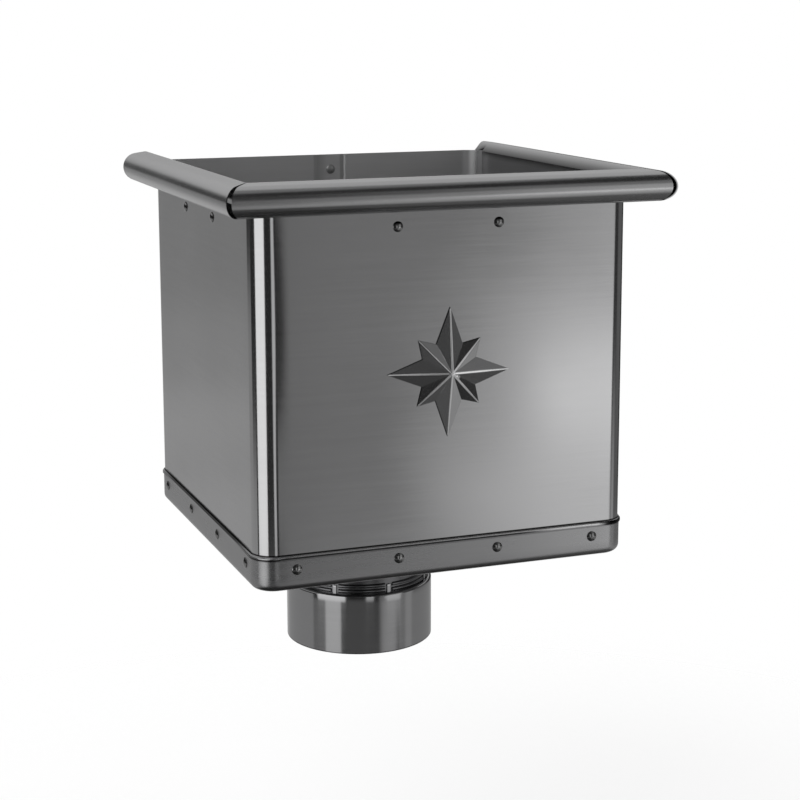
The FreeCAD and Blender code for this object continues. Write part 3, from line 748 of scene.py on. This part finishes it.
def rim_end(mitred):
    """Stations near one end of a strip: the place along it, how far in the
    web's inner edge lies and how much of the flange is left. At a mitre the
    edge follows the bowl's round corner as far as the web reaches; at the
    plain end it hugs the outside of the wall's back corner."""
    if mitred:
        stop = math.acos((HALF - FLAT - WEB_REACH) / INNER_CORNER)
        turn = np.linspace(0, stop, MITRE_POINTS)
        inner = FLAT + INNER_CORNER * np.cos(turn) - HALF
        place = (FLAT + INNER_CORNER * np.sin(turn)) / (1 + inner / HALF)
        place, inner = np.append(place, HALF), np.append(inner, -WEB_REACH)
    else:
        place = np.linspace(FLAT + END_GAP, HALF, PLAIN_POINTS)
        inner = FLAT - HALF + np.sqrt((CORNER + PAN_GAP) ** 2 - (place - FLAT) ** 2) + SHEET / 2
        inner = np.maximum(inner, -WEB_REACH)
    return np.stack([place, inner, np.full(place.shape, END_STUB)], axis=1)


def rim_stations(ends):
    """Stations along a whole strip, with its two ends as rim_end gives them
    and the full flange between."""
    left, right = (rim_end(end is not None) for end in ends)
    left[:, 0] *= -1
    middle = np.linspace(left[0, 0] + END_GAP / 2, right[0, 0] - END_GAP / 2, RIM_STATIONS)
    body = np.stack([middle, np.full(RIM_STATIONS, -FLANGE_IN), np.ones(RIM_STATIONS)], axis=1)
    return np.concatenate([left[::-1], body, right])


def to_mitres(place, out, ends):
    """Places along a strip, stretched to its mitres: a point further out
    lies further along, less the mitre's play and, outside the wall, a share
    of its opening."""
    for sign, end in zip((-1, 1), ends):
        if end is not None:
            play, opening = end
            spread = np.where(out > 0, 1 - (opening - play) / RIM_REACH, 1.0) * out - play
            place = place + np.where(place * sign > 0, sign * np.abs(place) / HALF * spread, 0)
    return place


def rim_shade_and_dull(side, run, web_run, fold_run):
    """Painted shade and dullness across the rim. Painted shade fills the roll's inside, grows on the web
    towards its fold and is thin on the flange; on the front and the right it also lies as a dark line
    under the roll. The flange is dull, but for the right side's."""
    on_flange = soft_step(run, fold_run, fold_run + FLANGE_FADE)
    grime = soft_step(run, web_run - WEB_START, fold_run)
    # painted shade in the roll's inside, on the web and flange, and as a line under the roll
    grime = grime * (WEB_SHADE + (FLANGE_SHADE - WEB_SHADE) * on_flange)
    if side != "left":
        grime = grime + 1 - soft_step(run, *UNDER_RUN)
    in_roll = on_left(run) & (run < web_run)
    return np.where(in_roll, 1.0, grime), on_flange * (0 if side == "right" else 1)


def rim(side, ends):
    """One strip of the rim: its section drawn along one side of the wall,
    stretched to the mitres, with the web and the flange cut back at the ends.
    The whole strip wavers outwards and back, as a sine along it."""
    outline, run, web_run, fold_run, fold = rim_section()
    where = rim_stations(ends)
    along = where[:, 0]
    on_web = np.clip((run - web_run) / (fold_run - web_run), 0, 1)
    shift = (where[:, 1] + FLANGE_IN)[:, None] * on_web[None]
    out = outline[None, :, 0] + shift
    place = to_mitres(along[:, None] * np.ones_like(out), out, ends)
    out += WAVER * np.sin(along / WAVER_LENGTH)[:, None]
    below = np.minimum(outline[:, 1] - (fold - FOLD_BEND), 0) * (run > web_run)
    slope = math.tan(math.radians(WEB_SLOPE))
    height = outline[None, :, 1] + slope * shift - below[None] * (1 - where[:, 2])[:, None]
    turn = {"front": 0, "right": math.pi / 2, "left": -math.pi / 2}[side]
    across = -(HALF + out)
    x = place * math.cos(turn) - across * math.sin(turn)
    y = place * math.sin(turn) + across * math.cos(turn) + MIDDLE_Y
    shape = np.stack([x, y, height], axis=2)
    grime, dull = (np.tile(marks, (len(where), 1)) for marks in rim_shade_and_dull(side, run, web_run, fold_run))
    make_piece(f"rim_{side}_strip", grid(shape, along, run, capped=True), "zinc_sheet", zinc_rim,
               f"rim_{side}", grime=grime, dull=dull)


def turned(outline, angles, bulge=0):
    """An outline of radius and height spun about the outlet's axis. A bulge
    adds to the radius."""
    turn = angles[:, None]
    radius = outline[None, :, 0] + bulge * np.ones_like(turn)
    height = outline[None, :, 1] * np.ones_like(turn)
    return np.stack([radius * np.cos(turn), radius * np.sin(turn), height], axis=2)


def collar():
    """The collar on the pan's floor: a turned-out flange, and a neck with
    two half-round beads that stop short of the sleeve's tongues. Its
    directions, in degrees, lie close together where the beads begin."""
    middle = NECK - SHEET / 2
    flange = collar_high[2] - SHEET / 2
    line = bent_line([(middle, collar_low[2]), (middle, flange, COLLAR_BEND),
                      (collar_high[0], flange)], 3.0)
    rows = [np.linspace(z - BEAD, z + BEAD, BEAD_POINTS) for z in BEADS_Z]
    heights = np.unique(np.concatenate(rows))
    neck = np.stack([np.full(heights.shape, middle), heights], axis=1)
    low = line[line[:, 1] < heights[0] - 0.1]
    high = line[line[:, 1] > heights[-1] + 0.1]
    outline, up = sheet_outline(np.concatenate([low, neck, high]))
    sector = 360 / TONGUES
    stop = math.degrees(TONGUE_SLOT / 2 / NECK)
    local = np.concatenate([np.linspace(0, stop - 0.35, 4), np.linspace(stop - 0.2, stop + 0.4, 5),
                            np.linspace(stop + 1, sector / 2, 8)])
    local = np.concatenate([-local[:0:-1], local[:-1]])
    angles = (np.arange(TONGUES)[:, None] * sector + local).ravel() + TONGUE_TURN
    from_tongue = np.abs((angles - TONGUE_TURN + sector / 2) % sector - sector / 2)
    beaded = soft_step(from_tongue, *(stop + np.array(BEAD_RISE)))
    swell = sum(np.sqrt(np.clip(BEAD ** 2 - (outline[:, 1] - z) ** 2, 0, None)) for z in BEADS_Z)
    swell *= outline[:, 0] > middle
    shape = turned(outline, np.radians(angles), beaded[:, None] * swell[None])
    along = np.append(angles, angles[0] + 360) * math.radians(NECK)
    make_piece("collar_neck", grid(shape, along, up, ring=True), "zinc_sheet", zinc_neck_shaded,
               "outlet_collar")


def tongue(index):
    """One tongue that stands up from the sleeve's edge against the neck: a
    flat upright strip, square to the radius at its place."""
    outline, up = sheet_outline(bent_line([
        (NECK + TONGUE_OUT, SPIGOT_TOP - SHEET), (NECK + TONGUE_OUT, SPIGOT_TOP + TONGUE_RISE)], 1.0))
    across = np.linspace(-1, 1, TONGUE_POINTS) * TONGUE_WIDTH / 2
    turn = math.radians(index * 360 / TONGUES + TONGUE_TURN)
    beside = across[:, None] * np.ones(len(up))
    x = outline[None, :, 0] * math.cos(turn) - beside * math.sin(turn)
    y = outline[None, :, 0] * math.sin(turn) + beside * math.cos(turn)
    height = outline[None, :, 1] * np.ones_like(x)
    return grid(np.stack([x, y, height], axis=2), across, up, capped=True)


def spigot():
    """The sleeve: a rolled tube turned in at its upper edge, with tongues
    standing up against the neck."""
    middle = SPIGOT - SHEET / 2
    top = SPIGOT_TOP - SHEET / 2
    outline, up = sheet_outline(bent_line([
        (middle, 0), (middle, SPIGOT_FOOT), (middle, top, SPIGOT_BEND), (NECK + NECK_PLAY, top)]))
    angles = np.radians(np.linspace(0, 360, SPIGOT_SIDES + 1)[:-1] + 90)
    along = np.append(angles, angles[0] + 2 * math.pi) * SPIGOT
    parts = [grid(turned(outline, angles), along, up, ring=True)]
    parts += [tongue(index) for index in range(TONGUES)]
    make_piece("spigot_sleeve", joined(parts), "zinc_sheet", zinc_spigot, "outlet_spigot")


def from_ridge(points, ridge):
    """How far points lie along a ridge from the centre, and across it."""
    along = (points * ridge).sum(axis=-1)
    across = np.abs(points[..., 0] * ridge[..., 1] - points[..., 1] * ridge[..., 0])
    return along, across


def star_flanks():
    """The star's edge, straight between its sixteen corners, with its points
    closer together near them. Gives its points and, for the flank that each
    lies on, the ridge's reach and direction and how steeply the flank falls
    along the ridge and across it: at the tip and at the valley's end it has
    come down by the whole rise."""
    corners = [(angle + 90 * quarter, reach) for quarter in range(4) for angle, reach in STAR_CORNERS]
    angle = np.radians([corner[0] for corner in corners])
    reach = np.array([corner[1] for corner in corners])
    spots = np.stack([reach * np.cos(angle), reach * np.sin(angle)], axis=1)
    share = (1 - np.cos(np.linspace(0, math.pi, EDGE_PIECES + 1)[:-1])) / 2
    after = np.roll(spots, -1, axis=0)
    edge = (spots[:, None] + (after - spots)[:, None] * share[None, :, None]).reshape(-1, 2)
    number = np.arange(STAR_POINTS)
    following = (number + 1) % STAR_POINTS
    tip = np.repeat(np.where(number % 2 == 0, number, following), len(share))
    valley = np.repeat(np.where(number % 2 == 1, number, following), len(share))
    ridge = np.stack([np.cos(angle[tip]), np.sin(angle[tip])], axis=1)
    along, across = from_ridge(spots[valley], ridge)
    fall_along = STAR_RISE / reach[tip]
    fall_across = (STAR_RISE - fall_along * along) / across
    return edge, reach[tip], ridge, fall_along, fall_across


def star():
    """The pressed star: each flank rises in a straight line from the edge to the centre. Each ridge is
    flattened to a crest, narrower towards the tip: within it the distance across counts as nothing, with
    a small round edge. A blob of solder, round as a parabola, lies in the valley near the centre. Crests
    and blob carry a painted highlight, the short points' less towards their tips. The underside follows
    a thickness below; it and the cut edge carry painted shade."""
    edge, reach, ridge, fall_along, fall_across = star_flanks()
    t = np.concatenate([np.linspace(0, 0.06, 4), np.linspace(0.1, STAR_INNER, 26), [1.0]])[:, None]
    flat = edge[None] * t[..., None]
    along, across = from_ridge(flat, ridge)
    crest = CREST * (1 - CREST_TAPER * soft_step(t, 0.5, 1.0))
    beyond = (across - crest + np.sqrt((across - crest) ** 2 + CREST_EDGE ** 2)) / 2
    height = STAR_EDGE + STAR_RISE - fall_along * along - fall_across * beyond
    away = np.hypot(flat[..., 0] - SOLDER_AT[0], flat[..., 1] - SOLDER_AT[1]) / SOLDER
    height = np.clip(np.maximum(height, SOLDER_TOP - away ** 2), *STAR_HEIGHTS)
    under = np.maximum(height - SHEET, STAR_FOOT)[::-1]
    cut = np.stack([np.full(len(edge), level) for level in STAR_CUT])
    outer = np.concatenate([height, cut, under])
    flat = np.concatenate([flat, *[edge[None] * STAR_BULGE] * 2, flat[::-1] * STAR_INNER])
    turn = math.radians(-STAR_TURN)
    x = flat[..., 0] * math.cos(turn) - flat[..., 1] * math.sin(turn)
    z = flat[..., 0] * math.sin(turn) + flat[..., 1] * math.cos(turn) + STAR_Z
    shape = np.stack([x, FRONT_Y - outer, z], axis=2)
    rows, columns = outer.shape
    surface = grid(shape, np.linspace(0, STAR_SHEET[0], rows), np.linspace(0, STAR_SHEET[1], columns))
    face = len(height)
    # painted shade on the cut edge and the underside
    grime = np.zeros(outer.shape)
    grime[face:] = 1
    grime[face - 1] = STAR_RIM_SHADE
    # painted highlights on the crests and the solder blob
    short = reach < STAR_CORNERS[0][1]
    faded = 1 - TIP_FADE * short[None] * soft_step(t, *FADE_RUN)
    on_crest = STAR_HIGHLIGHT * faded * (1 - soft_step(across, crest, crest + CREST_SOFT))
    on_solder = STAR_HIGHLIGHT * (1 - soft_step(away, *SOLDER_SOFT))
    worn = np.zeros(outer.shape)
    worn[:face] = np.maximum(on_crest, on_solder)
    make_piece("pressed_star", surface, "zinc_pressing", zinc_star, "star_ornament",
               grime=grime, worn=worn)


def rivet(node):
    """A blind rivet, its section spun about its axis: a head domed as a
    parabola, with the pit where the mandrel broke, the shank, and the
    swollen tail behind the sheets. The seam's, inside the bowl, are dull."""
    side = next(side for side in HEAD_WAYS if side in node)
    way = np.array(HEAD_WAYS[side], float)
    low, high = span(node)
    centre = (low + high) / 2
    axis = int(np.argmax(np.abs(way)))
    peak = low[axis] if way[axis] < 0 else high[axis]
    centre[axis] = peak - way[axis] * RIVET_RISE
    radius = np.linspace(PIT_EDGE, RIVET_HEAD, DOME_POINTS)
    dome = RIVET_BRIM + (RIVET_RISE - RIVET_BRIM) * (1 - (radius / RIVET_HEAD) ** 2)
    tail = [(out, place - RIVET_GRIP, bend) for out, place, bend in RIVET_TAIL]
    line = bent_line([*RIVET_PIT, *zip(radius, dome), (RIVET_HEAD, 0), (RIVET_SHANK, 0), *tail], 0.6)
    angles = np.linspace(0, 2 * math.pi, RIVET_SIDES + 1)[:-1]
    up = np.array([0, 0, 1.0])
    spokes = np.cos(angles)[:, None] * np.cross(up, way) + np.sin(angles)[:, None] * up
    shape = centre + line[:, None, :1] * spokes[None] + line[:, None, 1:] * way
    rows, columns = shape.shape[:2]
    surface = grid(shape, np.linspace(0, RIVET_SHEET[0], rows), np.linspace(0, RIVET_SHEET[1], columns))
    dull = np.full((rows, columns), 1.0 if side == "seam" else 0.0)
    make_piece(node + "_turned", surface, "rivet_metal", rivet_metal, node, dull=dull)


wall()
pan()
rim("front", FRONT_ENDS)
rim("left", LEFT_ENDS)
rim("right", RIGHT_ENDS)
collar()
spigot()
star()
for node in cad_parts:
    if "rivet" in node:
        rivet(node)


# the studio

OBJECT_MIDDLE = np.array([0.0, MIDDLE_Y, 190.0])
FLOOR_Z = -300.0
FLOOR_RADIUS = 1050.0
FLOOR_FADE = (550.0, 1000.0)
FLOOR_WHITE = (0.96, 0.96, 0.96, 1)


def plain_mesh(name, surface, material):
    """A stage piece from a grid, in metres."""
    points, quads, _ = surface
    mesh = bpy.data.meshes.new(name)
    mesh.from_pydata((points * MM).tolist(), [], quads.tolist())
    mesh.polygons.foreach_set("use_smooth", np.ones(len(mesh.polygons), bool))
    mesh.materials.append(material)
    thing = bpy.data.objects.new(name, mesh)
    bpy.context.scene.collection.objects.link(thing)
    return thing


def pale_floor():
    """A round pale floor under the object, which keeps its shadow and fades
    out into the white of the studio. The metal doesn't mirror it."""
    material = bpy.data.materials.new("pale_floor")
    s = Shader(material)
    place = s.node("ShaderNodeTexCoord", output="Object")
    length = s.node("ShaderNodeVectorMath", {"operation": "LENGTH"}, {0: place}, output="Value")
    fade = s.node("ShaderNodeMapRange", {"interpolation_type": "SMOOTHSTEP"}, {
        "Value": length, "From Min": FLOOR_FADE[0] * MM, "From Max": FLOOR_FADE[1] * MM})
    paint = s.node("ShaderNodeBsdfDiffuse", {}, {"Color": FLOOR_WHITE})
    clear = s.node("ShaderNodeBsdfTransparent")
    s.finish(s.node("ShaderNodeMixShader", {}, {0: fade, 1: paint, 2: clear}))
    angle = np.linspace(0, 2 * math.pi, 65)[:-1]
    radius = np.linspace(0.0, FLOOR_RADIUS, 8)
    ring = np.stack([np.cos(angle), np.sin(angle), np.zeros(len(angle))], axis=1)
    shape = radius[:, None, None] * ring[None]
    thing = plain_mesh("pale_floor", grid(shape, radius, angle), material)
    thing.location = (0, MIDDLE_Y * MM, FLOOR_Z * MM)
    thing.visible_glossy = False


# What the metal mirrors: dark cloth with soft panels of light. Each has its
# span of azimuth from the front, positive to the left, and of elevation, its
# brightness and the width of its soft edge, all angles in degrees.
SURROUND = 3000
CLOTH = 0.03
PANELS = (
    ((41, 88), (-19.4, 35), 1.22, 1.5),
    ((48.5, 75), (-36, -19.4), 0.74, 1.5),
    ((-3.5, 9), (-19, 16), 0.66, 1.5),
    ((-16, 48), (-36, -19.5), 0.11, 3),
    ((4, 38), (-30, -17.5), 0.13, 2),
    ((14, 27), (3, 16), 0.09, 3),
    ((-11, 0), (-34, -26), 0.44, 2),
    ((74, 150), (-50, -19.4), 0.25, 2),
    ((96, 226), (-50, -13.5), 0.39, 5),
    ((150, 204), (-16, -10), 0.38, 5),
    ((118, 204), (-16, -6.5), 0.31, 5),
    ((150, 204), (-12, 0), 0.26, 5),
    ((168, 206), (-50, 12), 0.48, 6),
    ((92, 268), (12, 80), 0.52, 8),
    ((-26, -12.6), (-32, 16), 0.245, 2),
    ((-44, -20.2), (-18.5, -12.5), 0.79, 6),
    ((-44, -14), (-36, -16), 0.46, 16),
    ((-50, -24), (-21, -15), 0.82, 4),
    ((-50, -23.1), (-14.5, -7.5), 1.17, 6),
    ((-52, -23.5), (-12, 20), 0.50, 7),
    ((-42, -14), (-42, -18), 0.38, 8),
    ((-16, 0), (-58, -46), 0.08, 4),
    ((-48, -26), (-60, -40), 0.11, 6),
    ((-62, -22), (18, 38), 0.21, 5),
    ((-10, 6), (22, 38), 0.10, 3),
    ((-72, -56), (-1, 12), 0.13, 3),
    ((-68, -46), (-42, -13), 0.30, 6),
    ((-140, -64), (-42, -17), 0.33, 6),
    ((-76, -56), (-30, -12), 0.44, 12),
    ((-120, -38), (-64, -44), 0.11, 6),
    ((-114, -74), (-18, 12), 0.14, 12),
    ((-180, 180), (62, 90), 0.22, 10),
)


def surround():
    """The studio round the object, a sphere that only the metal mirrors:
    dark cloth with soft panels of light. Each panel's brightness fades over
    a few degrees at its edges, and the brightest counts where they overlap."""
    azimuth = np.radians(np.arange(0, 361, 1.0))
    elevation = np.radians(np.linspace(-90, 90, 181))
    up, turn = np.meshgrid(elevation, azimuth, indexing="ij")
    way = np.stack([-np.cos(up) * np.sin(turn), -np.cos(up) * np.cos(turn), np.sin(up)], axis=2)
    glow = np.full(up.shape, CLOTH)
    for (right, left), (low, high), bright, edge in PANELS:
        off = np.abs((np.degrees(turn) - (left + right) / 2 + 180) % 360 - 180)
        rise = np.abs(np.degrees(up) - (low + high) / 2)
        inside = 1 - soft_step(off, (left - right - edge) / 2, (left - right + edge) / 2)
        inside *= 1 - soft_step(rise, (high - low - edge) / 2, (high - low + edge) / 2)
        glow = np.maximum(glow, inside * bright)
    material = bpy.data.materials.new("studio_surround")
    s = Shader(material)
    s.finish(s.node("ShaderNodeEmission", {}, {"Strength": s.attribute("glow")}))
    material.cycles.emission_sampling = "NONE"
    shape = OBJECT_MIDDLE + way * SURROUND
    thing = plain_mesh("studio_surround", grid(shape, elevation, azimuth), material)
    attribute = thing.data.attributes.new("glow", "FLOAT", "POINT")
    attribute.data.foreach_set("value", glow.ravel())
    thing.visible_camera = False
    thing.visible_diffuse = False
    thing.visible_shadow = False


def set_axes(thing, right, up, back, place):
    """Turns a lamp or a camera, which looks against its own back axis, and
    puts it in its place, in metres."""
    axes = np.eye(4)
    axes[:3, 0], axes[:3, 1], axes[:3, 2], axes[:3, 3] = right, up, back, place
    thing.matrix_world = Matrix(axes.tolist())


def lamp(name, place, size, power):
    """A square soft lamp that looks at the object."""
    light = bpy.data.lights.new(name, "AREA")
    light.shape = "SQUARE"
    light.size = size
    light.energy = power
    thing = bpy.data.objects.new(name, light)
    bpy.context.scene.collection.objects.link(thing)
    back = np.array(place, float) - OBJECT_MIDDLE * MM
    back /= np.linalg.norm(back)
    right = np.cross([0, 0, 1.0], back)
    right /= np.linalg.norm(right)
    set_axes(thing, right, np.cross(back, right), back, place)


def studio():
    """White light from all round, the floor, what the metal mirrors and one
    soft lamp from the left."""
    world = bpy.data.worlds.new("studio")
    bpy.context.scene.world = world
    world.use_nodes = True
    background = world.node_tree.nodes["Background"]
    background.inputs["Color"].default_value = (1, 1, 1, 1)
    background.inputs["Strength"].default_value = 1.0
    pale_floor()
    surround()
    lamp("key_lamp", place=(-1.6, -1.6, 2.2), size=1.4, power=12.0)


# the photograph's camera: its place in millimetres, where it looks in
# degrees, its focal length in pixels of an 800 pixel frame, and how far
# below the frame's middle the picture was cropped
CAMERA_PLACE = (-409.6, -1165.0, 429.4)
CAMERA_YAW = 20.71
CAMERA_PITCH = 10.16
CAMERA_ROLL = 0.13
FRAME = 800
FOCAL = 1849.5
CROP = 64


def camera():
    """The camera, turned to the right by its yaw, down by its pitch and
    about its own axis by its roll."""
    yaw, pitch, roll = np.radians([CAMERA_YAW, CAMERA_PITCH, CAMERA_ROLL])
    ahead = np.array([math.sin(yaw) * math.cos(pitch), math.cos(yaw) * math.cos(pitch),
                      -math.sin(pitch)])
    right = np.array([math.cos(yaw), -math.sin(yaw), 0])
    down = np.cross(ahead, right)
    tilted_right = right * math.cos(roll) + down * math.sin(roll)
    tilted_down = down * math.cos(roll) - right * math.sin(roll)
    data = bpy.data.cameras.new("camera")
    data.sensor_width = 36
    data.lens = FOCAL / FRAME * data.sensor_width
    data.shift_y = -CROP / FRAME
    thing = bpy.data.objects.new("camera", data)
    bpy.context.scene.collection.objects.link(thing)
    set_axes(thing, tilted_right, -tilted_down, -ahead, np.array(CAMERA_PLACE) * MM)
    bpy.context.scene.camera = thing


studio()
camera()
bpy.context.scene.view_settings.view_transform = "Standard"
